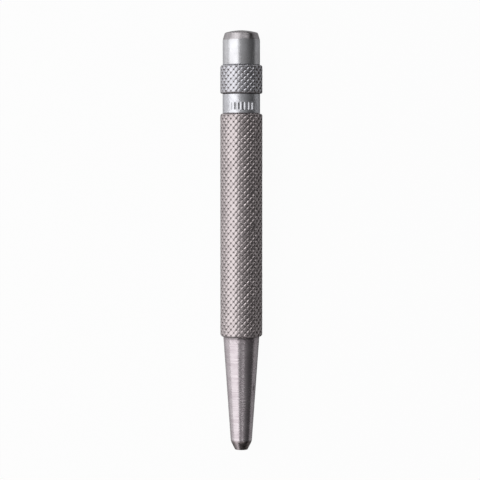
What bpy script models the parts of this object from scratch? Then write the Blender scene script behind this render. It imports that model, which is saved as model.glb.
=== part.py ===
# Hollow punch: a hand tool that is struck with a hammer to cut small round holes.
# It lies on a bench with its axis along Y, its head towards +Y and its knurls on Z = 0.
# Each piece is drawn upright round its own Z axis, with the cutting edge at zero and the
# crown at the top, and one empty then lays the whole tool down.

import math

import bmesh
import bpy

for leftover in list(bpy.data.objects):
    bpy.data.objects.remove(leftover, do_unlink=True)

MM = 0.001

# Stretches along the axis, from the cutting edge up to the crown
BEVEL_LENGTH = 2.1 * MM
TAPER_LENGTH = 26.4 * MM
GRIP_LENGTH = 56.05 * MM
BAND_LENGTH = 4.8 * MM
COLLAR_LENGTH = 7.15 * MM
HEAD_LENGTH = 8.5 * MM

# Hollow nose: a bore, a cutting edge round it, a bevel, a long taper and a spigot that goes
# up into the grip
BORE_DIAMETER = 3.0 * MM
EDGE_LAND = 0.1 * MM
BEVEL_TOP_DIAMETER = 5.3 * MM
TAPER_TOP_DIAMETER = 9.05 * MM
SPIGOT_LENGTH = 12.0 * MM
THROAT_LENGTH = 3.0 * MM
RELIEF_STEP = 0.2 * MM
DRILL_POINT_ANGLE = 118.0

# Slug port: an oblong window from the bore out through one side of the nose
PORT_START = 8.0 * MM
PORT_LENGTH = 7.0 * MM
PORT_WIDTH = 3.0 * MM
PORT_ANGLE = 135.0

# Knurling of the grip and the collar: crossed grooves that leave four-sided points
KNURL_DIAMETER = 10.55 * MM
KNURL_DEPTH = 0.3 * MM
KNURL_STARTS = 21
KNURL_PITCH = 1.54 * MM
KNURL_CHAMFER = 0.55 * MM

# Plain band between the two knurls
BAND_DIAMETER = 9.35 * MM
BAND_CHAMFER = 0.2 * MM

# Striking head and the drive rod that runs down from it through the rings
HEAD_DIAMETER = 9.3 * MM
HEAD_BEVEL_LENGTH = 1.75 * MM
HEAD_BEVEL_DEPTH = 0.53 * MM
CROWN_RADIUS = 17.0 * MM
CROWN_FLAT_DIAMETER = 1.6 * MM
ROD_DIAMETER = 6.0 * MM
ROD_CHAMFER = 0.4 * MM

# Clearance round the rod and between faces that meet
FIT_GAP = 0.05 * MM

# Fineness of the round shapes
ROUND_STEPS = 48
CROWN_STEPS = 6
PORT_STEPS = 10
WELD = 0.0001 * MM

# Heights of the parting lines above the cutting edge
bevel_top = BEVEL_LENGTH
nose_top = bevel_top + TAPER_LENGTH
grip_top = nose_top + GRIP_LENGTH
band_top = grip_top + BAND_LENGTH
collar_top = band_top + COLLAR_LENGTH
crown_top = collar_top + HEAD_LENGTH
spigot_top = nose_top + SPIGOT_LENGTH

rod_radius = ROD_DIAMETER / 2
ring_bore_radius = rod_radius + FIT_GAP
# Turn from one column of a knurl to the next, a peak or a crossing in each
knurl_step = math.pi / KNURL_STARTS

# Two neighbouring rows of points carry the tool on the bench.
axis_height = KNURL_DIAMETER / 2 * math.cos(knurl_step / 2)

punch_axis = bpy.data.objects.new("punch_axis", None)
bpy.context.scene.collection.objects.link(punch_axis)
punch_axis.location = (0, -crown_top / 2, axis_height)
punch_axis.rotation_euler = (-math.pi / 2, 0, 0)


def steel(name, colour, roughness):
    material = bpy.data.materials.new(name)
    material.use_nodes = True
    shader = material.node_tree.nodes["Principled BSDF"]
    shader.inputs["Base Color"].default_value = (*colour, 1)
    shader.inputs["Metallic"].default_value = 1.0
    shader.inputs["Roughness"].default_value = roughness
    return material


def place(name, shape, material=None):
    # Faces are turned outwards and the finished mesh hangs on the tool's axis.
    bmesh.ops.recalc_face_normals(shape, faces=shape.faces)
    mesh = bpy.data.meshes.new(name)
    shape.to_mesh(mesh)
    shape.free()
    if material:
        mesh.materials.append(material)
    piece = bpy.data.objects.new(name, mesh)
    bpy.context.scene.collection.objects.link(piece)
    piece.parent = punch_axis
    return piece


def turned(name, outline, material):
    # A list of (radius, height) points spun once round. It starts and ends on the axis,
    # or closes on itself as a ring.
    shape = bmesh.new()
    points = [shape.verts.new((radius, 0, height)) for radius, height in outline]
    lines = [shape.edges.new(ends) for ends in zip(points, points[1:])]
    if outline[0][0] > 0:
        lines.append(shape.edges.new((points[-1], points[0])))
    bmesh.ops.spin(
        shape,
        geom=points + lines,
        cent=(0, 0, 0),
        axis=(0, 0, 1),
        angle=2 * math.pi,
        steps=ROUND_STEPS,
        use_merge=True,
    )
    bmesh.ops.remove_doubles(shape, verts=shape.verts, dist=WELD)
    piece = place(name, shape, material)
    piece.data.shade_smooth()
    piece.data.set_sharp_from_angle(angle=math.radians(20))
    return piece


def knurled_ring(name, bottom, top, material):
    # Rows of points, turn by turn a peak and a crossing of two grooves, each row half a
    # diamond above the last and half a diamond round from it. Every cell between two rows
    # is folded along the groove that joins its two crossings.
    shape = bmesh.new()
    columns = 2 * KNURL_STARTS
    peak_radius = KNURL_DIAMETER / 2
    groove_radius = peak_radius - KNURL_DEPTH
    end_radius = peak_radius - KNURL_CHAMFER
    # The flats of the bore, not its corners, are what clears the rod.
    bore_radius = ring_bore_radius / math.cos(knurl_step / 2)
    first = bottom + KNURL_CHAMFER
    last = top - KNURL_CHAMFER
    cells = max(2, round((last - first) / (KNURL_PITCH / 2)))

    def row(radii, height):
        turns = [math.pi / 2 + (column + 0.5) * knurl_step for column in range(columns)]
        spots = zip(radii, turns)
        return [shape.verts.new((r * math.cos(t), r * math.sin(t), height)) for r, t in spots]

    def knurl_row(index):
        radii = [peak_radius, groove_radius] * KNURL_STARTS
        if index % 2:
            radii.reverse()
        return row(radii, first + (last - first) * index / cells)

    def band(lower, upper, folded_from=None):
        # Quads between two rows, or triangles where the first cell's fold is named.
        for column in range(columns):
            after = (column + 1) % columns
            low, low_next = lower[column], lower[after]
            high, high_next = upper[column], upper[after]
            if folded_from is None:
                shape.faces.new((low, low_next, high_next, high))
            elif (column + folded_from) % 2:
                shape.faces.new((low, low_next, high_next))
                shape.faces.new((low, high_next, high))
            else:
                shape.faces.new((low, low_next, high))
                shape.faces.new((low_next, high_next, high))

    bore_bottom = row([bore_radius] * columns, bottom)
    end_bottom = row([end_radius] * columns, bottom)
    rows = [knurl_row(index) for index in range(cells + 1)]
    end_top = row([end_radius] * columns, top)
    bore_top = row([bore_radius] * columns, top)

    band(bore_bottom, end_bottom)
    band(end_bottom, rows[0], folded_from=0)
    for index in range(cells):
        band(rows[index], rows[index + 1], folded_from=index)
    band(rows[-1], end_top, folded_from=cells)
    band(end_top, bore_top)
    band(bore_top, bore_bottom)
    return place(name, shape, material)


def port_cutter():
    # An oblong outline across the port's own axis, carried from the bore's axis outwards.
    shape = bmesh.new()
    half_width = PORT_WIDTH / 2
    straight = max(PORT_LENGTH - PORT_WIDTH, 0) / 2
    middle = PORT_START + PORT_LENGTH / 2
    rim = []
    for end in (1, -1):
        for step in range(PORT_STEPS + 1):
            turn = math.pi * step / PORT_STEPS
            across = end * half_width * math.cos(turn)
            along = end * (straight + half_width * math.sin(turn))
            rim.append(shape.verts.new((0, across, middle + along)))
    window = shape.faces.new(rim)
    pulled = bmesh.ops.extrude_face_region(shape, geom=[window])["geom"]
    moved = [part for part in pulled if isinstance(part, bmesh.types.BMVert)]
    bmesh.ops.translate(shape, verts=moved, vec=(TAPER_TOP_DIAMETER, 0, 0))
    cutter = place("slug_port_cutter", shape)
    cutter.rotation_euler = (0, 0, math.radians(PORT_ANGLE - 90))
    cutter.hide_render = True
    cutter.display_type = "WIRE"
    return cutter


def crown_outline():
    # From the small flat in the middle of the crown, along its arc, to the bevel's edge.
    flat_radius = CROWN_FLAT_DIAMETER / 2
    rim_radius = HEAD_DIAMETER / 2 - HEAD_BEVEL_DEPTH
    flat_rise = math.sqrt(CROWN_RADIUS**2 - flat_radius**2)
    points = []
    for step in range(CROWN_STEPS + 1):
        radius = flat_radius + (rim_radius - flat_radius) * step / CROWN_STEPS
        drop = flat_rise - math.sqrt(CROWN_RADIUS**2 - radius**2)
        points.append((radius, crown_top - drop))
    return points


def striking_head():
    head_radius = HEAD_DIAMETER / 2
    shoulder = collar_top + FIT_GAP
    rod_end = spigot_top + FIT_GAP
    crown = crown_outline()
    rim_height = crown[-1][1]
    outline = [(0, crown_top)]
    outline += crown
    outline += [
        (head_radius, rim_height - HEAD_BEVEL_LENGTH),
        (head_radius, shoulder),
        (rod_radius, shoulder),
        (rod_radius, rod_end + ROD_CHAMFER),
        (rod_radius - ROD_CHAMFER, rod_end),
        (0, rod_end),
    ]
    return turned("striking_head", outline, steel("turned_steel", (0.62, 0.63, 0.65), 0.32))


def size_band():
    band_radius = BAND_DIAMETER / 2
    bottom = grip_top + FIT_GAP
    outline = [
        (ring_bore_radius, band_top),
        (band_radius - BAND_CHAMFER, band_top),
        (band_radius, band_top - BAND_CHAMFER),
        (band_radius, bottom + BAND_CHAMFER),
        (band_radius - BAND_CHAMFER, bottom),
        (ring_bore_radius, bottom),
    ]
    return turned("size_band", outline, steel("band_steel", (0.60, 0.61, 0.63), 0.36))


def hollow_nose():
    bore_radius = BORE_DIAMETER / 2
    relief_radius = bore_radius + RELIEF_STEP
    bore_end = PORT_START + PORT_LENGTH
    bore_tip = bore_end + relief_radius / math.tan(math.radians(DRILL_POINT_ANGLE / 2))
    outline = [
        (0, spigot_top),
        (rod_radius - ROD_CHAMFER, spigot_top),
        (rod_radius, spigot_top - ROD_CHAMFER),
        (rod_radius, nose_top),
        (TAPER_TOP_DIAMETER / 2, nose_top),
        (BEVEL_TOP_DIAMETER / 2, bevel_top),
        (bore_radius + EDGE_LAND, 0),
        (bore_radius, 0),
        (bore_radius, THROAT_LENGTH),
        (relief_radius, THROAT_LENGTH),
        (relief_radius, bore_end),
        (0, bore_tip),
    ]
    nose = turned("hollow_nose", outline, steel("ground_steel", (0.56, 0.54, 0.54), 0.38))
    cut = nose.modifiers.new("slug_port", "BOOLEAN")
    cut.operation = "DIFFERENCE"
    cut.solver = "EXACT"
    cut.object = port_cutter()
    return nose


knurl_steel = steel("knurled_steel", (0.55, 0.53, 0.53), 0.42)
striking_head()
knurled_ring("knurled_collar", band_top + FIT_GAP, collar_top, knurl_steel)
size_band()
knurled_ring("knurled_grip", nose_top + FIT_GAP, grip_top, knurl_steel)
hollow_nose()
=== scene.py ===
import bpy
import numpy as np
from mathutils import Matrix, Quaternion, Vector


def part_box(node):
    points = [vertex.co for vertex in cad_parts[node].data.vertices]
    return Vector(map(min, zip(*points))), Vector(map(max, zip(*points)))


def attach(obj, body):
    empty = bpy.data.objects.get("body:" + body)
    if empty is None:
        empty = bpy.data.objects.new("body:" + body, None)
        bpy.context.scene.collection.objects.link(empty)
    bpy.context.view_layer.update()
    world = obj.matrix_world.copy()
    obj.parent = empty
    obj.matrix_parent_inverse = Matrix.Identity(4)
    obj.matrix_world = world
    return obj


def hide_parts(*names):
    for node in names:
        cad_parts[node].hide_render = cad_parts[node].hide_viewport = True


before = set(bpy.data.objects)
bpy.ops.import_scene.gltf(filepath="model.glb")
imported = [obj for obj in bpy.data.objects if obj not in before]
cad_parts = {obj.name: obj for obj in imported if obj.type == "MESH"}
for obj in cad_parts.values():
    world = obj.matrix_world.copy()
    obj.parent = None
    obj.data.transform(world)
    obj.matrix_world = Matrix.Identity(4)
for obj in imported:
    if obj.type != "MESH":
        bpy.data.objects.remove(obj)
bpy.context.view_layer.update()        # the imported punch, lying along Y with its head towards +Y
print("frame loaded:", ", ".join(sorted(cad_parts)))

mm = 0.001

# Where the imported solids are: each piece's two ends along the axis, and its radius
headLow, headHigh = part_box("striking_head")
collarLow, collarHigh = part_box("knurled_collar")
bandLow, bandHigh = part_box("size_band")
gripLow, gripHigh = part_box("knurled_grip")
noseLow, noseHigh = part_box("hollow_nose")
axisHeight = (bandLow.z + bandHigh.z) / 2
headRadius = (headHigh.x - headLow.x) / 2
bandRadius = (bandHigh.x - bandLow.x) / 2
knurlRadius = (gripHigh.x - gripLow.x) / 2

# What runs through the rings: the head's rod from one end and the nose's spigot from the other
core = {
    "rodRadius": 3.0 * mm,
    "rodRound": 0.2 * mm,       # rounding of their ends
    "fitGap": 0.05 * mm,
    "seamDrop": 0.15 * mm,      # the line between the band and the grip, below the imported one
}
ringBore = core["rodRadius"] + core["fitGap"]

poleShare = 0.05       # radius of the last ring before a pole, as a share of the face it closes
bendPoints = 7         # points along a rounded corner


def onAxis(radius, angle, station):
    # Cylinder coordinates to the frame: the angle starts straight up and turns towards +X,
    # so x is radius times its sine, z is radius times its cosine above the axis, y the station.
    x = radius * np.sin(angle)
    z = axisHeight + radius * np.cos(angle)
    return np.stack(np.broadcast_arrays(x, station, z), axis=-1)


def roundAngles(columns):
    # One row of angles, evenly spaced over a full turn
    return (2 * np.pi * np.arange(columns) / columns)[None, :]


def turnFrom(angle, start):
    # The angle from a start, brought between minus and plus half a turn
    return np.angle(np.exp(1j * (angle - start)))


def ringIds(rows, columns):
    # Corner numbers of every cell of a grid that closes on itself both ways
    ids = np.arange(rows * columns).reshape(rows, columns)
    nextRow = np.roll(ids, -1, axis=0)
    return ids, np.roll(ids, -1, axis=1), np.roll(nextRow, -1, axis=1), nextRow


def ringCells(points, closed):
    # Four-cornered cells between the rows, and from the last row to the first if it is closed
    cells = np.stack(ringIds(*points.shape[:2]), axis=-1)
    return (cells if closed else cells[:-1]).reshape(-1, 4)


def withEnds(values, first, last):
    # The grid with one more row before it and one after it, each of a single value
    width = values.shape[1]
    return np.concatenate([np.full((1, width), first), values, np.full((1, width), last)])


def poleFans(points, startPole, endPole):
    # Triangles that close the first and the last row on a point of the axis
    rows, columns = points.shape[:2]
    first = np.arange(columns)
    last = first + (rows - 1) * columns
    start = np.full(columns, rows * columns)
    startFan = np.stack([start, np.roll(first, -1), first], axis=-1)
    endFan = np.stack([start + 1, last, np.roll(last, -1)], axis=-1)
    poles = np.array([[0, startPole, axisHeight], [0, endPole, axisHeight]])
    return poles, [startFan, endFan]


def makePiece(name, points, faceBlocks, sharpAngle, masks):
    # Puts the worked-out points and faces into a mesh, with one value per point for each mask.
    mesh = bpy.data.meshes.new(name)
    faces = [face for block in faceBlocks for face in block.tolist()]
    mesh.from_pydata(points.reshape(-1, 3).tolist(), [], faces)
    for maskName, values in masks.items():
        layer = mesh.attributes.new(maskName, "FLOAT", "POINT")
        layer.data.foreach_set("value", values.ravel().astype(np.float32))
    mesh.shade_smooth()
    mesh.set_sharp_from_angle(angle=sharpAngle)
    piece = bpy.data.objects.new(name, mesh)
    bpy.context.scene.collection.objects.link(piece)
    print(name, "has", len(mesh.vertices), "points")
    return piece


def makeTurned(name, points, startPole, endPole, sharpAngle, masks):
    # A grid round the axis, closed on a pole at both ends. The masks hold the poles' values last.
    poles, fans = poleFans(points, startPole, endPole)
    allPoints = np.concatenate([points.reshape(-1, 3), poles])
    return makePiece(name, allPoints, [ringCells(points, False), *fans], sharpAngle, masks)


def seat(piece, node, material):
    # The finished piece stands for its solid and rides on the tool's one body.
    piece.data.materials.append(material)
    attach(piece, "root")
    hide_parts(node)


def softOutline(corners):
    # Corners are (radius, station, rounding, cells). Each corner is replaced by a short parabola
    # that leaves and meets its two sides at the rounding's distance, and the straight side after
    # it is split into that many cells.
    spots = np.array([corner[:2] for corner in corners], float)
    reach = np.array([corner[2] for corner in corners], float)
    sides = np.diff(spots, axis=0)
    sides = sides / np.linalg.norm(sides, axis=1, keepdims=True)
    bend = np.linspace(0, 1, bendPoints)[:, None]
    runs = []
    for i in range(len(corners)):
        enter = spots[i] - sides[max(i - 1, 0)] * reach[i]
        leave = spots[i] + sides[min(i, len(sides) - 1)] * reach[i]
        curve = (1 - bend) ** 2 * enter + 2 * bend * (1 - bend) * spots[i] + bend**2 * leave
        runs.append(curve if reach[i] > 0 else spots[i : i + 1])
        if i + 1 < len(corners):
            ahead = spots[i + 1] - sides[i] * reach[i + 1]
            split = np.linspace(0, 1, corners[i][3] + 1)[1:-1, None]
            runs.append(leave + (ahead - leave) * split)
    line = np.concatenate(runs)
    return line[:, 0], line[:, 1]


def smoothRandom(count, seed, spread):
    # Random values along a line, averaged over a window, then scaled to a spread of one
    raw = np.random.default_rng(seed).normal(size=count + 2 * spread)
    window = np.hanning(2 * spread + 1)
    soft = np.convolve(raw, window / window.sum(), mode="valid")
    return soft / soft.std()


# Knurling

knurl = {
    "starts": 21,                  # grooves of each hand round the tool
    "pitch": 1.54 * mm,            # height of one diamond
    "fine": 5,                     # cells along half a diamond
    "fallingSides": (0.4, 0.2),    # widths of a groove's two sides, as shares of half the spacing
    "fallingDepth": 0.06 * mm,     # the grooves that climb to the left
    "risingSides": (0.6, 0.4),
    "risingDepth": 0.145 * mm,     # and those that climb to the right
    "pitDepth": 0.06 * mm,         # more, where two grooves cross
    "unevenTop": 0.012 * mm,
    "tiltedTop": 0.03 * mm,
    "tiltLimit": 0.4,              # as a share of tiltedTop
    "unevenGroove": 0.10,          # as a share of the depth
    "wornMean": 0.5,               # how clouded the diamonds are
    "wornSpread": 0.3,
    "unlikeRows": 97,              # rows of diamonds before their chance differences repeat
    "handledAt": np.radians([-52, -30, -2, 14, 34, 52]),   # from straight up towards +X
    "handledDepth": (1.0, 0.55, 0.55, 1.0, 1.0, 1.0),      # what is left of the rising grooves there
    "dirtWide": (0.64, 0.38, 0.38, 0.40, 0.44, 0.75),      # half the dirt and painted shade at a crossing, in columns
    "dirtTall": (0.38, 0.31, 0.31, 0.28, 0.34, 0.55),      # and in rows
    "dirtLine": (0.15, 0.16, 0.16, 0.0, 0.0, 0.1),         # dirt and painted shade along the bottoms of the grooves
    "dirtEdge": 1.6,               # the greater, the sharper the edge of the dirt and painted shade at a crossing
    "lineSides": (0.2, 0.2),       # widths of the dirt and painted shade to both sides of a groove's bottom
    "traceSides": (0.4, 0.4),      # and of the faint grooves past the grip's ends
    "endRow": 0.55 * mm,           # from a ring's end to its first row of diamonds
    "endCell": 0.2,                # least cell at a ring's end, as a share of the other cells
    "endDirt": 0.42 * mm,          # painted shade round a ring's lower end
    "sharpAngle": np.radians(22),
    "seed": 11,
}


def diamondLattice(angle, station, firstRow, halfPitch):
    # Column and row numbers run round the ring and along the axis, a diamond or a crossing at each
    # whole pair. Half their sum and half their difference number the grooves of each hand.
    column = (angle - np.pi) / (np.pi / knurl["starts"]) - 0.5
    row = (station - firstRow) / halfPitch
    return (column + row - 1) / 2, (column - row - 1) / 2


def grooveWall(phase, before, after):
    # One at the bottom of a groove, falling straight to zero at the far edges of its two sides
    away = 2 * (phase - np.round(phase))
    return np.clip(1 - np.where(away < 0, -away / before, away / after), 0, 1)


def handled(angle, values):
    # A value that changes round the tool, straight from angle to angle: the rising grooves' depth as
    # hands have worn it, and the size of the dirt and painted shade, which follows the lamps
    return np.interp(angle, knurl["handledAt"], values, period=2 * np.pi)


def knurlCut(angle, falling, rising):
    # Depth below the outside: the deeper of the two grooves, a pit where they cross, and on top of
    # each diamond a slightly different height and slope. Also gives how worn its diamond is, and
    # whether the falling groove is the deeper one there. Chance gives four values to each diamond and
    # one to each groove.
    starts = knurl["starts"]
    rows = knurl["unlikeRows"]
    chance = np.random.default_rng(knurl["seed"]).normal(size=(6, 2 * starts, rows))
    fallId = np.floor(falling).astype(int)
    riseId = np.floor(rising).astype(int)
    tooth = chance[:4, (fallId + riseId) % (2 * starts), (fallId - riseId) % rows]
    fallDeep = 1 + knurl["unevenGroove"] * chance[4, np.round(falling).astype(int) % starts, 0]
    riseDeep = 1 + knurl["unevenGroove"] * chance[5, np.round(rising).astype(int) % starts, 0]
    fallWall = grooveWall(falling, *knurl["fallingSides"])
    riseWall = grooveWall(rising, *knurl["risingSides"])
    fallCut = fallWall * fallDeep * knurl["fallingDepth"]
    riseCut = riseWall * riseDeep * knurl["risingDepth"] * handled(angle, knurl["handledDepth"])
    onTop = 1 - np.maximum(fallWall, riseWall)
    slope = tooth[1] * (falling - fallId - 0.5) + tooth[2] * (rising - riseId - 0.5)
    slope = np.clip(slope, -knurl["tiltLimit"], knurl["tiltLimit"])
    top = knurl["unevenTop"] * np.abs(tooth[0]) + knurl["tiltedTop"] * slope
    pit = knurl["pitDepth"] * fallWall * riseWall
    cut = np.maximum(fallCut, riseCut) + pit + np.maximum(onTop * top, 0)
    wear = np.clip(knurl["wornMean"] + knurl["wornSpread"] * tooth[3], 0, 1)
    return cut, wear, fallCut >= riseCut


def crossingDirt(angle, falling, rising):
    # An oval of dirt and painted shade round every crossing, full in its middle and nothing at its edge,
    # or a thin line of it along the bottoms of the grooves, whichever is more. Both change round the
    # tool: the painted shade is least where the key lamp's highlight falls.
    offFall = falling - np.round(falling)
    offRise = rising - np.round(rising)
    wide = handled(angle, knurl["dirtWide"])
    tall = handled(angle, knurl["dirtTall"])
    away = np.hypot((offFall + offRise) / wide, (offFall - offRise) / tall)
    oval = knurl["dirtEdge"] * (1 - away)
    sides = knurl["lineSides"]
    bottom = np.maximum(grooveWall(falling, *sides), grooveWall(rising, *sides))
    return np.clip(np.maximum(oval, bottom * handled(angle, knurl["dirtLine"])), 0, 1)


def knurlTrace(angle, station, risingShare):
    # What shows beside the grip where the knurl runs out or was turned away: the grip's falling
    # grooves carried on, and a share of its rising ones.
    grooves = diamondLattice(angle, station, gripLow.y + knurl["endRow"], knurl["pitch"] / 2)
    falling, rising = (grooveWall(groove, *knurl["traceSides"]) for groove in grooves)
    return np.maximum(falling, risingShare * rising)


def roundedEnd(distance, depth, length):
    # A quarter ellipse: the full depth at a ring's end, nothing past the length
    short = np.clip(1 - distance / length, 0, 1)
    return depth * (1 - np.sqrt(1 - short**2))


# The two knurled rings: their ends' rounding as depth and length, and how little hands browned them

collar = {
    "lowEnd": (0.3 * mm, 0.4 * mm),
    "highEnd": (0.5 * mm, 0.65 * mm),
    "fresh": 1.0,
}

grip = {
    "lowEnd": (0.6 * mm, 0.75 * mm),
    "highEnd": (0.5 * mm, 0.6 * mm),
    "fresh": 0.0,
}


def knurledRing(name, node, low, high, ring, material):
    # Radius is the outside less the knurl's cut and less the rounding of both ends. The first and
    # last rows of the grid close the ring onto its bore.
    fine = knurl["fine"]
    inside = high - low - 2 * knurl["endRow"]
    halves = round(inside / (knurl["pitch"] / 2))
    halfPitch = inside / halves
    firstRow = low + knurl["endRow"]
    columns = 2 * knurl["starts"] * fine
    extra = int(np.floor(knurl["endRow"] / halfPitch * fine - knurl["endCell"]))
    inner = firstRow + halfPitch / fine * np.arange(-extra, halves * fine + extra + 1)
    station = np.concatenate([[low], inner, [high]])[:, None]
    angle = np.pi + np.pi / knurl["starts"] * (0.5 + np.arange(columns) / fine)[None, :]
    grooves = diamondLattice(angle, station, firstRow, halfPitch)
    cut, wear, _ = knurlCut(angle, *grooves)
    # Painted shade at the ring's lower end, in the corner where it meets the next piece
    lowDirt = np.clip(1 - (station - low) / knurl["endDirt"], 0, 1)
    shelter = np.maximum(crossingDirt(angle, *grooves), lowDirt)
    drop = roundedEnd(station - low, *ring["lowEnd"]) + roundedEnd(high - station, *ring["highEnd"])
    radius = withEnds(knurlRadius - cut - drop, ringBore, ringBore)
    station = withEnds(station, low, high)
    points = onAxis(radius, angle, station)

    # Cells are folded along the deeper groove that crosses them, so the grooves stay clean.
    a, b, c, d = ringIds(len(points), columns)
    cellStation = (station + np.roll(station, -1, axis=0)) / 2
    cellAngle = angle + np.pi / columns
    cellGrooves = diamondLattice(cellAngle, cellStation, firstRow, halfPitch)
    flip = knurlCut(cellAngle, *cellGrooves)[2]
    faces = [
        np.stack([a, b, c], axis=-1)[~flip],
        np.stack([a, c, d], axis=-1)[~flip],
        np.stack([a, b, d], axis=-1)[flip],
        np.stack([b, c, d], axis=-1)[flip],
    ]
    masks = {
        "shelter": withEnds(shelter, 0, 0),
        "wear": withEnds(wear, 0, 0),
        "fresh": np.full(radius.shape, ring["fresh"]),
    }
    piece = makePiece(name, points, faces, knurl["sharpAngle"], masks)
    seat(piece, node, material)


# Striking head

head = {
    "crownRise": 0.488 * mm,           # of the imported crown, above its rim
    "crownSwell": 0.12 * mm,           # how much the crown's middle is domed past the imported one
    "crownFlat": 0.8 * mm,
    "flatRound": 0.4 * mm,
    "domeAt": 0.6,                     # where the crown bends, as a share of the rim's radius
    "domeDrop": 0.33,                  # how far below the top, as a share of the crown's height
    "domeRound": 0.6 * mm,
    "poleRing": 0.05 * mm,
    "rimRound": 0.3 * mm,
    "bevelLength": 1.75 * mm,
    "bevelDepth": 0.53 * mm,
    "bevelRound": 0.3 * mm,
    "footRound": 0.12 * mm,
    "struckFade": 0.1 * mm,            # length in which the struck face gives way to the plain side
    "edgeWander": 0.05 * mm,           # how far the bevel's edge strays along the tool
    "edgeReach": 0.35 * mm,            # how far to both sides the metal goes with it
    "edgeWaves": ((2, 0.7, 1.0), (5, 2.1, 0.6), (9, 0.0, 0.4)),   # count, start and share of each
    "dents": 0.012 * mm,               # hammer marks on the crown and the bevel
    "dentWaves": (7, 4),               # waves round the tool, in two slanting sets
    "dentLengths": (0.21 * mm, 0.37 * mm),   # and along it
    "smudgeAngle": np.radians(33),
    "smudgeBelowRim": 0.9 * mm,
    "smudgeSize": (0.4 * mm, 0.7 * mm),
    "sharpAngle": np.radians(40),
    "columns": 180,
}


def strikingHead(material):
    # A turned outline carried round the axis: rod, shoulder, plain side, bevel and crown. The bevel's
    # edge strays along the tool by a sum of sines, and the dents are the product of two sines.
    rodRadius = core["rodRadius"]
    top = headHigh.y + head["crownSwell"]
    rim = headHigh.y - head["crownRise"]
    bevelStart = rim - head["bevelLength"]
    rimRadius = headRadius - head["bevelDepth"]
    shoulder = collarHigh.y + core["fitGap"]
    dome = top - (top - rim) * head["domeDrop"]
    radius, station = softOutline([
        (poleShare * rodRadius, headLow.y, 0, 2),
        (rodRadius, headLow.y, core["rodRound"], 4),
        (rodRadius, shoulder, 0, 2),
        (headRadius, shoulder, head["footRound"], 48),
        (headRadius, bevelStart, head["bevelRound"], 14),
        (rimRadius, rim, head["rimRound"], 8),
        (rimRadius * head["domeAt"], dome, head["domeRound"], 4),
        (head["crownFlat"], top, head["flatRound"], 3),
        (head["poleRing"], top, 0, 1),
    ])
    angle = roundAngles(head["columns"])
    radius = np.repeat(radius[:, None], head["columns"], axis=1)
    station = np.repeat(station[:, None], head["columns"], axis=1)
    struck = np.clip((station - bevelStart) / head["struckFade"] + 0.5, 0, 1)
    wander = sum(share * np.sin(count * angle + start) for count, start, share in head["edgeWaves"])
    nearEdge = np.exp(-(((station - bevelStart) / head["edgeReach"]) ** 2))
    slantUp = np.sin(head["dentWaves"][0] * angle + station / head["dentLengths"][0])
    slantDown = np.sin(head["dentWaves"][1] * angle - station / head["dentLengths"][1])
    dents = slantUp * slantDown
    radius = radius - struck * dents * head["dents"] * np.clip(radius / headRadius, 0, 1)
    station = station + nearEdge * wander * head["edgeWander"]
    aside = (angle - head["smudgeAngle"]) * rimRadius / head["smudgeSize"][0]
    below = (station - rim + head["smudgeBelowRim"]) / head["smudgeSize"][1]
    smudge = np.exp(-(aside**2) - below**2)
    masks = {
        "struck": np.append(struck, [0, 1]),
        "shelter": np.append(smudge, [0, 0]),
    }
    points = onAxis(radius, angle, station)
    piece = makeTurned("strikingHead", points, headLow.y, top, head["sharpAngle"], masks)
    seat(piece, "striking_head", material)


# Plain band with its row of stamped strokes

band = {
    "strokes": np.radians([-33.6, -18, -5.2, 7, 20.2, 33.2, 48]),   # from straight up towards +X
    "strokeDepths": np.array([0.10, 0.17, 0.19, 0.27, 0.36, 0.36, 0.3]) * mm,
    "strokeHeight": 1.35 * mm,
    "strokeWidth": 0.7 * mm,
    "strokeRise": -0.67 * mm,   # middle of the strokes, from the band's middle
    "lipHeight": 0.028 * mm,    # metal pushed up beside a stroke
    "lipWidth": 0.09 * mm,
    "lipAt": 0.62,              # from the stroke's middle, as a share of its width
    "rim": 0.15 * mm,
    "traceDepth": 0.03 * mm,    # what is left of a knurl that was turned away
    "traceRising": 0.5,
    "traceSide": -0.5,          # radians; the trace is least a quarter turn past this angle
    "traceLevel": 0.6,          # and this strong at the angle itself
    "traceDirt": 0.35,
    "sharpAngle": np.radians(50),
    "columns": 546,
    "rows": 60,
}


def sizeBand(material):
    # Radius is the band's, less each stroke's pointed furrow and a faint trace of the knurl, plus the
    # lip round each stroke.
    low = bandLow.y - core["seamDrop"]
    high = bandHigh.y
    station = np.linspace(low, high, band["rows"])[:, None]
    angle = roundAngles(band["columns"])
    turn = turnFrom(angle, 0)
    toStrokes = np.abs(turn[..., None] - band["strokes"])
    across = toStrokes.min(axis=-1) * bandRadius
    depth = band["strokeDepths"][toStrokes.argmin(axis=-1)]
    middle = (low + high) / 2 + band["strokeRise"]
    along = np.abs(station - middle) - band["strokeHeight"] / 2
    beside = np.hypot(across, np.maximum(along, 0))
    furrow = np.clip(1 - beside / (band["strokeWidth"] / 2), 0, 1)
    lip = np.exp(-(((beside - band["strokeWidth"] * band["lipAt"]) / band["lipWidth"]) ** 2))
    trace = knurlTrace(angle, station, band["traceRising"])
    trace = trace * np.clip(band["traceLevel"] - np.sin(turn - band["traceSide"]), 0, 1)
    toEnd = np.minimum(station - low, high - station)
    radius = bandRadius - furrow * depth + lip * band["lipHeight"]
    radius = radius - trace * band["traceDepth"] - roundedEnd(toEnd, band["rim"], band["rim"])
    # The strokes' furrows and the knurl's trace are darkened: painted shade in the hollows
    shelter = np.maximum(furrow, band["traceDirt"] * trace)

    radius = withEnds(radius, ringBore, ringBore)
    points = onAxis(radius, angle, withEnds(station, low, high))
    masks = {"shelter": withEnds(shelter, 0, 0)}
    piece = makePiece("sizeBand", points, [ringCells(points, True)], band["sharpAngle"], masks)
    seat(piece, "size_band", material)


# Hollow nose

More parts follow.
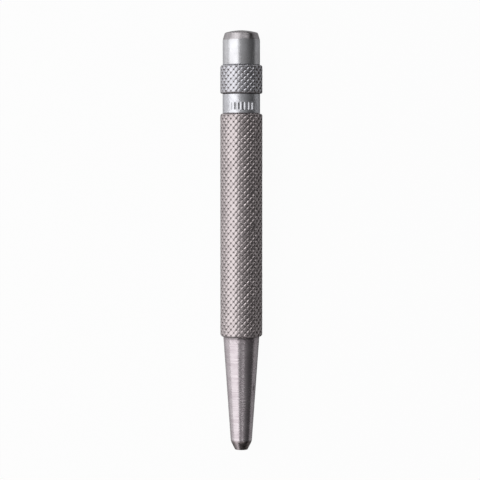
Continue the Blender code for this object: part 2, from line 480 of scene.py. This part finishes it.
nose = {
    "bore": 3.0 * mm,           # diameter, as bevelTop and taperTop are
    "land": 0.1 * mm,
    "edgeRound": 0.05 * mm,     # at the land and under the grip
    "bevelTop": 5.3 * mm,
    "bevelLength": 2.1 * mm,
    "bevelRound": 0.5 * mm,     # how far the bevel's upper edge is rounded over
    "taperTop": 9.05 * mm,
    "throat": 3.0 * mm,         # length of the bore that cuts
    "relief": 0.2 * mm,         # how much wider it is past that, all round
    "drillPoint": 0.6,          # height of the bore's pointed end, as a share of its radius
    "portStart": 8.0 * mm,
    "portLength": 7.0 * mm,
    "portWidth": 3.0 * mm,
    "portAngle": np.radians(135),
    "portPoints": 48,
    "ringHeight": 0.006 * mm,
    "ringSingle": (5, 2),       # seed of the single rings, and half the rows that one is spread over
    "ringGroup": (6, 30),       # and of the groups in which they are stronger
    "ringLeast": 0.5,
    "ringMore": 2,              # at most so much more in a group
    "traceDepth": 0.06 * mm,    # knurl marks that run out just below the grip
    "traceLength": 2.2 * mm,
    "traceRising": 0.6,
    "traceDirt": 0.4,
    "rubbedAngle": np.radians(-27),   # where the bevel's painted shade is lifted, on the lamps' side: a painted highlight
    "rubbedHalf": np.radians(19),
    "rubbedShare": 0.4,
    "cornerDirt": 0.42 * mm,    # painted shade in the corner under the grip
    "nickAngle": np.radians(58),
    "nickBelowGrip": 12.7 * mm,
    "nickSize": (0.3 * mm, 0.85 * mm),
    "nickDepth": 0.08 * mm,
    "sharpAngle": np.radians(40),
    "taperRows": 290,
    "columns": 168,
}


def slugPortCutter(tip):
    # An oblong outline across the port's direction, carried straight out from the axis
    count = nose["portPoints"]
    turn = np.linspace(0, 2 * np.pi, count, endpoint=False)
    half = nose["portWidth"] / 2
    middle = tip + nose["portStart"] + nose["portLength"] / 2
    straight = nose["portLength"] / 2 - half
    side = half * np.sin(turn)
    along = middle + half * np.cos(turn) + straight * np.sign(np.cos(turn))
    reach = np.array([0, nose["taperTop"]])[:, None]
    out = np.array([np.sin(nose["portAngle"]), 0, np.cos(nose["portAngle"])])
    aside = np.array([np.cos(nose["portAngle"]), 0, -np.sin(nose["portAngle"])])
    points = reach[..., None] * out + side[None, :, None] * aside
    points = points + np.array([0, 0, axisHeight])
    points[..., 1] = along
    caps = [np.arange(count)[None, ::-1], np.arange(count, 2 * count)[None, :]]
    return makePiece("slugPort", points, [ringCells(points, False), *caps], nose["sharpAngle"], {})


def cutOut(piece, cutter, sharpAngle):
    # Takes the cutter's shape out of the piece for good, and the cutter out of the scene.
    cut = piece.modifiers.new("cut", "BOOLEAN")
    cut.solver = "EXACT"
    cut.operation = "DIFFERENCE"
    cut.object = cutter
    evaluated = piece.evaluated_get(bpy.context.evaluated_depsgraph_get())
    mesh = bpy.data.meshes.new_from_object(evaluated)
    piece.modifiers.clear()
    piece.data = mesh
    mesh.set_sharp_from_angle(angle=sharpAngle)
    bpy.data.objects.remove(cutter)
    print(piece.name, "is cut")


def noseOutline(tip, bevelTop, noseTop):
    # From the pointed end of the bore, out over the cutting edge and up the taper to the spigot
    rodRadius = core["rodRadius"]
    holeRadius = nose["bore"] / 2
    reliefRadius = holeRadius + nose["relief"]
    throat = tip + nose["throat"]
    boreEnd = tip + nose["portStart"] + nose["portLength"]
    boreTip = boreEnd + reliefRadius * nose["drillPoint"]
    besideTip = boreTip - reliefRadius * nose["drillPoint"] * poleShare
    radius, station = softOutline([
        (poleShare * reliefRadius, besideTip, 0, 2),
        (reliefRadius, boreEnd, 0, 8),
        (reliefRadius, throat, 0, 1),
        (holeRadius, throat, 0, 4),
        (holeRadius, tip, 0, 1),
        (holeRadius + nose["land"], tip, nose["edgeRound"], 24),
        (nose["bevelTop"] / 2, bevelTop, nose["bevelRound"], nose["taperRows"]),
        (nose["taperTop"] / 2, noseTop, nose["edgeRound"], 2),
        (rodRadius, noseTop, 0, 6),
        (rodRadius, noseHigh.y, core["rodRound"], 2),
        (poleShare * rodRadius, noseHigh.y, 0, 1),
    ])
    return radius, station, boreTip


def hollowNose(material):
    # The outline carried round the axis, with chance rings on the taper, the knurl running out under
    # the grip, and a nick: a bell across it, and a flatter bell of the fourth power along it.
    tip = noseLow.y
    bevelTop = tip + nose["bevelLength"]
    noseTop = gripLow.y - core["fitGap"]
    radius, station, boreTip = noseOutline(tip, bevelTop, noseTop)
    outside = (radius > nose["bevelTop"] / 2) & (station < noseTop - nose["edgeRound"])
    single = smoothRandom(len(radius), *nose["ringSingle"])
    group = smoothRandom(len(radius), *nose["ringGroup"])
    rings = single * (nose["ringLeast"] + np.clip(group, 0, nose["ringMore"]))
    radius = (radius + outside * rings * nose["ringHeight"])[:, None]
    outside = outside[:, None]
    station = station[:, None]
    angle = roundAngles(nose["columns"])
    runOut = outside * np.clip(1 - (noseTop - station) / nose["traceLength"], 0, 1)
    trace = runOut * knurlTrace(angle, station, nose["traceRising"])
    corner = outside * np.exp(-(((noseTop - station) / nose["cornerDirt"]) ** 2))
    corner = corner * (0.5 + 0.5 * np.cos(angle)) ** 2     # most on top, none below
    nickAcross = (angle - nose["nickAngle"]) * radius / nose["nickSize"][0]
    nickAlong = (station - noseTop + nose["nickBelowGrip"]) / nose["nickSize"][1]
    nick = outside * np.exp(-(nickAcross**2) - nickAlong**4)
    radius = radius - trace * nose["traceDepth"] - nick * nose["nickDepth"]
    station = np.repeat(station, nose["columns"], axis=1)
    # The cutting bevel's dark colour is painted shade, reaching up over its rounded edge, and lifted on
    # the lamps' side as a painted highlight
    onBevel = np.clip((bevelTop - station) / nose["bevelRound"] + 1, 0, 1)
    aside = turnFrom(angle, nose["rubbedAngle"]) / nose["rubbedHalf"]
    onBevel = onBevel * (1 - nose["rubbedShare"] * np.exp(-(aside**2)))
    # The nose's darkening: painted shade in the knurl's trace, in the nick's dent and in the corner
    # under the grip, most on top
    shelter = np.maximum(np.maximum(nose["traceDirt"] * trace, nick), corner)
    masks = {
        "struck": np.append(onBevel, [0, 0]),
        "shelter": np.append(shelter, [0, 0]),
    }
    points = onAxis(radius, angle, station)
    piece = makeTurned("hollowNose", points, boreTip, noseHigh.y, nose["sharpAngle"], masks)
    seat(piece, "hollow_nose", material)
    cutOut(piece, slugPortCutter(tip), nose["sharpAngle"])


# Finishes: groups that several steels share

effects = {
    "noiseSpan": (0.3, 0.7),       # where most values of a noise lie
    "cloudSpan": (0.36, 0.68),     # the part of it where clouding begins and is full
    "cloudDetail": 4.0,
    "grainDetail": 3.0,
    "ringDetail": 2.0,
    "ringDrift": 70.0,             # how fast the rings change round the tool
    "grimePatches": 1300.0,
    "grimeShare": (0.45, 1.2),     # least and most of the dirt and painted shade that is left in a patch
    "blotches": 1500.0,
    "blotchShare": (0.7, 1.0),
}


def newGroup(name, inputs, outputs):
    # Inputs are name and value: three numbers are a colour, one number is a plain value.
    tree = bpy.data.node_groups.new(name, "ShaderNodeTree")
    for label, value in inputs.items():
        isColour = isinstance(value, tuple)
        kind = "NodeSocketColor" if isColour else "NodeSocketFloat"
        socket = tree.interface.new_socket(label, in_out="INPUT", socket_type=kind)
        socket.default_value = (*value, 1) if isColour else value
    for label in outputs:
        kind = "NodeSocketColor" if label == "Colour" else "NodeSocketFloat"
        tree.interface.new_socket(label, in_out="OUTPUT", socket_type=kind)
    return tree, tree.nodes.new("NodeGroupInput").outputs, tree.nodes.new("NodeGroupOutput").inputs


def addNode(tree, kind, inputs, **settings):
    # A node with its settings, its links and its plain values; colours are three numbers.
    node = tree.nodes.new(kind)
    for key, value in settings.items():
        setattr(node, key, value)
    for key, value in inputs.items():
        if isinstance(value, bpy.types.NodeSocket):
            tree.links.new(value, node.inputs[key])
        elif isinstance(value, tuple) and node.inputs[key].type == "RGBA":
            node.inputs[key].default_value = (*value, 1)
        else:
            node.inputs[key].default_value = value
    return node


def noiseOf(tree, vector, scale, detail):
    noise = addNode(tree, "ShaderNodeTexNoise", {"Vector": vector, "Scale": scale, "Detail": detail})
    return noise.outputs["Fac"]


def mathOf(tree, operation, first, second, clamp=False):
    inputs = {0: first, 1: second}
    return addNode(tree, "ShaderNodeMath", inputs, operation=operation, use_clamp=clamp).outputs[0]


def rangeOf(tree, value, fromMin, fromMax, toMin, toMax):
    inputs = {"Value": value, "From Min": fromMin, "From Max": fromMax, "To Min": toMin, "To Max": toMax}
    return addNode(tree, "ShaderNodeMapRange", inputs).outputs["Result"]


def mixOf(tree, share, first, second):
    mix = addNode(tree, "ShaderNodeMix", {0: share, 6: first, 7: second}, data_type="RGBA")
    return mix.outputs[2]


def placeOf(tree):
    return tree.nodes.new("ShaderNodeTexCoord").outputs["Object"]


def makeHandledTone():
    # Clean metal that handling has clouded in soft patches
    inputs = {"Clean": (0.5, 0.5, 0.5), "Clouded": (0.4, 0.4, 0.4), "Patches": 500.0, "Strength": 1.0}
    tree, given, out = newGroup("handledTone", inputs, ["Colour"])
    patches = noiseOf(tree, placeOf(tree), given["Patches"], effects["cloudDetail"])
    cloud = rangeOf(tree, patches, *effects["cloudSpan"], 0.0, 1.0)
    share = mathOf(tree, "MULTIPLY", cloud, given["Strength"])
    tree.links.new(mixOf(tree, share, given["Clean"], given["Clouded"]), out["Colour"])
    return tree


def makeTurningRings():
    # Fine uneven rings round the tool's axis, left by a lathe
    tree, given, out = newGroup("turningRings", {"Rings": 6000.0}, ["Ring"])
    drift = effects["ringDrift"]
    stretch = addNode(tree, "ShaderNodeCombineXYZ", {"X": drift, "Y": given["Rings"], "Z": drift})
    inputs = {0: placeOf(tree), 1: stretch.outputs[0]}
    drawn = addNode(tree, "ShaderNodeVectorMath", inputs, operation="MULTIPLY")
    tree.links.new(noiseOf(tree, drawn.outputs[0], 1.0, effects["ringDetail"]), out["Ring"])
    return tree


def makePlatedGrit():
    # The fine grain of satin plating
    tree, given, out = newGroup("platedGrit", {"Grains": 9000.0}, ["Grit"])
    tree.links.new(noiseOf(tree, placeOf(tree), given["Grains"], effects["grainDetail"]), out["Grit"])
    return tree


def makeGrooveGrime():
    # Dark dirt, and painted shade in pits, grooves, hollows and corners, broken up so that it isn't even
    inputs = {"Colour": (0.5, 0.5, 0.5), "Grime": (0.1, 0.1, 0.1), "Shelter": 0.0, "Amount": 1.0}
    tree, given, out = newGroup("grooveGrime", inputs, ["Colour", "Dirt"])
    patches = noiseOf(tree, placeOf(tree), effects["grimePatches"], effects["grainDetail"])
    broken = rangeOf(tree, patches, *effects["noiseSpan"], *effects["grimeShare"])
    amount = mathOf(tree, "MULTIPLY", given["Shelter"], given["Amount"])
    dirt = mathOf(tree, "MULTIPLY", amount, broken, clamp=True)
    tree.links.new(mixOf(tree, dirt, given["Colour"], given["Grime"]), out["Colour"])
    tree.links.new(dirt, out["Dirt"])
    return tree


def makeDulledFace():
    # Faces that are struck or ground: duller, rougher and blotched. On the nose's cutting bevel the dark
    # colour is painted shade
    inputs = {"Colour": (0.5, 0.5, 0.5), "Dull": (0.3, 0.3, 0.3)}
    inputs |= {"Struck": 0.0, "Satin": 0.25, "Rough": 0.5}
    tree, given, out = newGroup("dulledFace", inputs, ["Colour", "Roughness"])
    patches = noiseOf(tree, placeOf(tree), effects["blotches"], effects["grainDetail"])
    blotch = rangeOf(tree, patches, *effects["noiseSpan"], *effects["blotchShare"])
    share = mathOf(tree, "MULTIPLY", given["Struck"], blotch)
    tree.links.new(mixOf(tree, share, given["Colour"], given["Dull"]), out["Colour"])
    rough = rangeOf(tree, given["Struck"], 0.0, 1.0, given["Satin"], given["Rough"])
    tree.links.new(rough, out["Roughness"])
    return tree


handledTone = makeHandledTone()
turningRings = makeTurningRings()
platedGrit = makePlatedGrit()
grooveGrime = makeGrooveGrime()
dulledFace = makeDulledFace()


class Steel:
    # One steel's node tree, with the shared groups placed in it at its finish's values
    def __init__(self, name, finish):
        self.values = finish
        self.material = bpy.data.materials.new(name)
        self.material.use_nodes = True
        self.tree = self.material.node_tree
        self.shader = self.tree.nodes["Principled BSDF"]
        self.shader.inputs["Metallic"].default_value = 1.0

    def place(self, group, **inputs):
        return addNode(self.tree, "ShaderNodeGroup", inputs, node_tree=group).outputs

    def mask(self, name):
        return addNode(self.tree, "ShaderNodeAttribute", {}, attribute_name=name).outputs["Fac"]

    def tone(self, clean, clouded, strength=1.0):
        patches = self.values["patches"]
        tone = self.place(handledTone, Clean=clean, Clouded=clouded, Patches=patches, Strength=strength)
        return tone["Colour"]

    def grit(self):
        return self.place(platedGrit, Grains=self.values["grains"])["Grit"]

    def ring(self):
        return self.place(turningRings, Rings=self.values["rings"])["Ring"]

    def satin(self, pattern):
        # Roughness that strays to both sides of the finish's own
        least = self.values["satin"] - self.values["satinSpread"]
        most = self.values["satin"] + self.values["satinSpread"]
        return rangeOf(self.tree, pattern, *effects["noiseSpan"], least, most)

    def dulled(self, colour, satin):
        return self.place(
            dulledFace, Colour=colour, Dull=self.values["dull"], Struck=self.mask("struck"),
            Satin=satin, Rough=self.values["rough"],
        )

    def dirtied(self, colour):
        # Darkens by the mask of real dirt and of painted shade in hollows and corners
        return self.place(
            grooveGrime, Colour=colour, Grime=self.values["grime"], Shelter=self.mask("shelter"),
            Amount=self.values["grimeAmount"],
        )

    def coverMetal(self, dirt):
        # Where dirt and painted shade lie, the surface is no longer bare metal.
        bare = mathOf(self.tree, "SUBTRACT", 1.0, dirt)
        self.tree.links.new(bare, self.shader.inputs["Metallic"])

    def finish(self, colour, roughness, height):
        inputs = {"Height": height, "Distance": self.values["relief"], "Strength": 1.0}
        bump = addNode(self.tree, "ShaderNodeBump", inputs)
        self.tree.links.new(colour, self.shader.inputs["Base Color"])
        self.tree.links.new(roughness, self.shader.inputs["Roughness"])
        self.tree.links.new(bump.outputs[0], self.shader.inputs["Normal"])
        print(self.material.name, "is ready")
        return self.material


# In the finishes below, patches, grains and rings are counted to the metre.

turnedFinish = {
    "clean": (0.615, 0.615, 0.64),
    "clouded": (0.525, 0.52, 0.54),
    "dull": (0.38, 0.355, 0.365),
    "grime": (0.09, 0.075, 0.07),
    "grimeAmount": 1.0,
    "patches": 420.0,
    "grains": 7000.0,
    "rings": 5000.0,
    "satin": 0.31,
    "satinSpread": 0.05,
    "rough": 0.36,
    "relief": 0.004 * mm,
}


def makeTurnedSteel():
    steel = Steel("turnedSteel", turnedFinish)
    tone = steel.tone(turnedFinish["clean"], turnedFinish["clouded"])
    grit = steel.grit()
    face = steel.dulled(tone, steel.satin(grit))
    dirty = steel.dirtied(face["Colour"])
    height = mathOf(steel.tree, "ADD", steel.ring(), grit)
    return steel.finish(dirty["Colour"], face["Roughness"], height)


bandFinish = {
    "clean": (0.605, 0.61, 0.645),
    "clouded": (0.51, 0.51, 0.54),
    "grime": (0.13, 0.125, 0.125),
    "grimeAmount": 0.3,
    "patches": 900.0,
    "grains": 5000.0,
    "rings": 7000.0,
    "satin": 0.35,
    "satinSpread": 0.06,
    "relief": 0.006 * mm,
}


def makeBandSteel():
    steel = Steel("bandSteel", bandFinish)
    tone = steel.tone(bandFinish["clean"], bandFinish["clouded"])
    grit = steel.grit()
    dirty = steel.dirtied(tone)
    height = mathOf(steel.tree, "ADD", steel.ring(), grit)
    return steel.finish(dirty["Colour"], steel.satin(grit), height)


knurlFinish = {
    "clean": (0.485, 0.435, 0.44),
    "fresh": (0.51, 0.505, 0.54),
    "clouded": (0.39, 0.345, 0.35),
    "freshClouded": (0.40, 0.395, 0.425),
    "grime": (0.075, 0.06, 0.06),
    "grimeAmount": 1.6,
    "patches": 300.0,
    "grains": 6000.0,
    "satin": 0.27,
    "rough": 0.5,
    "relief": 0.002 * mm,
}


def makeKnurledSteel():
    steel = Steel("knurledSteel", knurlFinish)
    fresh = steel.mask("fresh")
    clean = mixOf(steel.tree, fresh, knurlFinish["clean"], knurlFinish["fresh"])
    clouded = mixOf(steel.tree, fresh, knurlFinish["clouded"], knurlFinish["freshClouded"])
    dirty = steel.dirtied(steel.tone(clean, clouded, steel.mask("wear")))
    rough = rangeOf(steel.tree, dirty["Dirt"], 0.0, 1.0, knurlFinish["satin"], knurlFinish["rough"])
    steel.coverMetal(dirty["Dirt"])
    return steel.finish(dirty["Colour"], rough, steel.grit())


groundFinish = {
    "clean": (0.51, 0.463, 0.486),
    "clouded": (0.43, 0.38, 0.405),
    "cloudedRings": (0.35, 0.65),   # values of the rings between which clouding grows
    "cloudMost": 2.0,
    # nearly black on the cutting bevel: painted shade over the bevel's own warm tint
    "dull": (0.085, 0.065, 0.059),
    "grime": (0.06, 0.048, 0.048),
    "grimeAmount": 1.1,
    "patches": 380.0,
    "grains": 6000.0,
    "gritShare": 0.1,               # beside the rings
    "rings": 3000.0,
    "satin": 0.26,
    "satinSpread": 0.06,
    "rough": 0.28,
    "relief": 0.005 * mm,
}


def makeGroundSteel():
    steel = Steel("groundSteel", groundFinish)
    ring = steel.ring()
    strength = rangeOf(steel.tree, ring, *groundFinish["cloudedRings"], 0.0, groundFinish["cloudMost"])
    tone = steel.tone(groundFinish["clean"], groundFinish["clouded"], strength)
    face = steel.dulled(tone, steel.satin(ring))
    dirty = steel.dirtied(face["Colour"])
    grit = mathOf(steel.tree, "MULTIPLY", steel.grit(), groundFinish["gritShare"])
    height = mathOf(steel.tree, "ADD", ring, grit)
    return steel.finish(dirty["Colour"], face["Roughness"], height)


knurledSteel = makeKnurledSteel()
gripTop = gripHigh.y - core["seamDrop"]
strikingHead(makeTurnedSteel())
knurledRing("knurledCollar", "knurled_collar", collarLow.y, collarHigh.y, collar, knurledSteel)
sizeBand(makeBandSteel())
knurledRing("knurledGrip", "knurled_grip", gripLow.y, gripTop, grip, knurledSteel)
hollowNose(makeGroundSteel())
print("pieces made")


# Studio

studio = {
    "floorSize": 6.0,
    "floorDrop": 0.02 * mm,              # keeps the floor just clear of the tool
    "floorColour": (0.58, 0.58, 0.58, 1),
    "floorRoughness": 0.9,
    "floorGlow": 0.96,                   # how much of the floor's white is its own, to the camera
    "floorMirrored": 0.95,               # and in the metal, on the key lamp's side of the tool
    "floorTurn": (-0.020, -0.006),       # the strip beside the tool where that ends
    "skySides": 0.076,
    "skyAbove": 0.30,                    # more, straight above
    "skySpread": 4.0,                    # the greater, the smaller the bright patch above
}

lamps = {
    "keyLight": {
        "place": (-0.369, 0.005, 0.293),
        "size": (1.16, 0.60),            # along the tool, and up the lamp's face
        "power": 3.5,
        "roll": np.radians(-10),         # lifts the face's upper edge towards the tool's head
    },
    "headLight": {                       # past the head, for the walls that face it
        "place": (0.03, 0.445, 0.373),
        "size": (0.76, 0.13),
        "power": 0.54,
    },
    "noseLight": {                       # past the nose, to the right
        "place": (0.08, -0.41, 0.42),
        "size": (0.45, 0.2),
        "power": 0.22,
    },
    "edgeLight": {                       # low, for the left of the cutting bevel
        "place": (-0.28, -0.5, 0.10),
        "size": (0.3, 0.16),
        "power": 0.23,
    },
    "streakLight": {                     # narrow, for the line down the nose
        "place": (0.09, -0.2, 0.5),
        "size": (0.2, 0.03),
        "power": 0.029,
    },
}


def makeFloor():
    # A plain square. Its white is its own to the camera, and in the metal on the key lamp's side.
    half = studio["floorSize"] / 2
    corners = np.array([(-half, -half), (half, -half), (half, half), (-half, half)])
    points = np.column_stack([corners, np.full(4, -studio["floorDrop"])])
    mesh = bpy.data.meshes.new("floor")
    mesh.from_pydata(points.tolist(), [], [(0, 1, 2, 3)])
    floor = bpy.data.objects.new("floor", mesh)
    bpy.context.scene.collection.objects.link(floor)
    material = bpy.data.materials.new("paleFloor")
    material.use_nodes = True
    tree = material.node_tree
    shader = tree.nodes["Principled BSDF"]
    shader.inputs["Base Color"].default_value = studio["floorColour"]
    shader.inputs["Roughness"].default_value = studio["floorRoughness"]
    glow = tree.nodes.new("ShaderNodeEmission")
    path = tree.nodes.new("ShaderNodeLightPath").outputs
    seen = mathOf(tree, "MULTIPLY", path["Is Camera Ray"], studio["floorGlow"])
    inMetal = mathOf(tree, "MAXIMUM", path["Is Glossy Ray"], path["Is Transmission Ray"])
    across = addNode(tree, "ShaderNodeSeparateXYZ", {0: placeOf(tree)}).outputs["X"]
    lampSide = rangeOf(tree, across, *studio["floorTurn"], studio["floorMirrored"], 0.0)
    mirrored = mathOf(tree, "MULTIPLY", inMetal, lampSide)
    share = mathOf(tree, "MAXIMUM", seen, mirrored)
    blend = addNode(tree, "ShaderNodeMixShader", {0: share, 1: shader.outputs[0], 2: glow.outputs[0]})
    tree.links.new(blend.outputs[0], tree.nodes["Material Output"].inputs["Surface"])
    mesh.materials.append(material)


def softBox(name, place, size, power, roll=0.0):
    # A rectangular lamp that faces the middle of the tool's axis
    lamp = bpy.data.lights.new(name, "AREA")
    lamp.shape = "RECTANGLE"
    lamp.size, lamp.size_y = size
    lamp.energy = power
    box = bpy.data.objects.new(name, lamp)
    box.location = place
    aim = Vector((0, 0, axisHeight)) - Vector(place)
    turn = aim.to_track_quat("-Z", "Y") @ Quaternion((0, 0, 1), roll)
    box.rotation_euler = turn.to_euler()
    box.visible_camera = False
    bpy.context.scene.collection.objects.link(box)


def makeSky():
    # Dim all round and lighter overhead: the sides plus a power of the direction's height.
    # The camera itself sees it white, as it does the floor.
    world = bpy.data.worlds.new("studioSky")
    bpy.context.scene.world = world
    world.use_nodes = True
    tree = world.node_tree
    towards = tree.nodes.new("ShaderNodeTexCoord").outputs["Generated"]
    height = addNode(tree, "ShaderNodeSeparateXYZ", {0: towards}).outputs["Z"]
    patch = mathOf(tree, "POWER", mathOf(tree, "MAXIMUM", height, 0.0), studio["skySpread"])
    level = mathOf(tree, "ADD", mathOf(tree, "MULTIPLY", patch, studio["skyAbove"]), studio["skySides"])
    seen = tree.nodes.new("ShaderNodeLightPath").outputs["Is Camera Ray"]
    level = mathOf(tree, "MAXIMUM", level, seen)
    background = tree.nodes["Background"]
    background.inputs["Color"].default_value = (1, 1, 1, 1)
    tree.links.new(level, background.inputs["Strength"])


view = {
    "sensor": 36,                # millimetres, as the lens
    "lens": 134.7,
    "nearest": 0.01,
    "height": 0.45,              # above the tool's axis
    "overStation": 0.0207,       # along the tool, towards its head
    "aimStation": 0.000285,
    "sideways": -0.000335,
}


def makeCamera():
    # Above the tool, tipped so that its middle is in the middle, head up in the picture
    data = bpy.data.cameras.new("camera")
    data.lens = view["lens"]
    data.sensor_width = view["sensor"]
    data.clip_start = view["nearest"]
    camera = bpy.data.objects.new("camera", data)
    camera.location = (view["sideways"], view["overStation"], axisHeight + view["height"])
    tip = np.arctan2(view["overStation"] - view["aimStation"], view["height"])
    camera.rotation_euler = (-tip, 0, 0)
    bpy.context.scene.collection.objects.link(camera)
    bpy.context.scene.camera = camera


makeFloor()
for lampName, lampValues in lamps.items():
    softBox(lampName, **lampValues)
makeSky()
makeCamera()
bpy.context.scene.view_settings.view_transform = "Standard"
print("studio made")
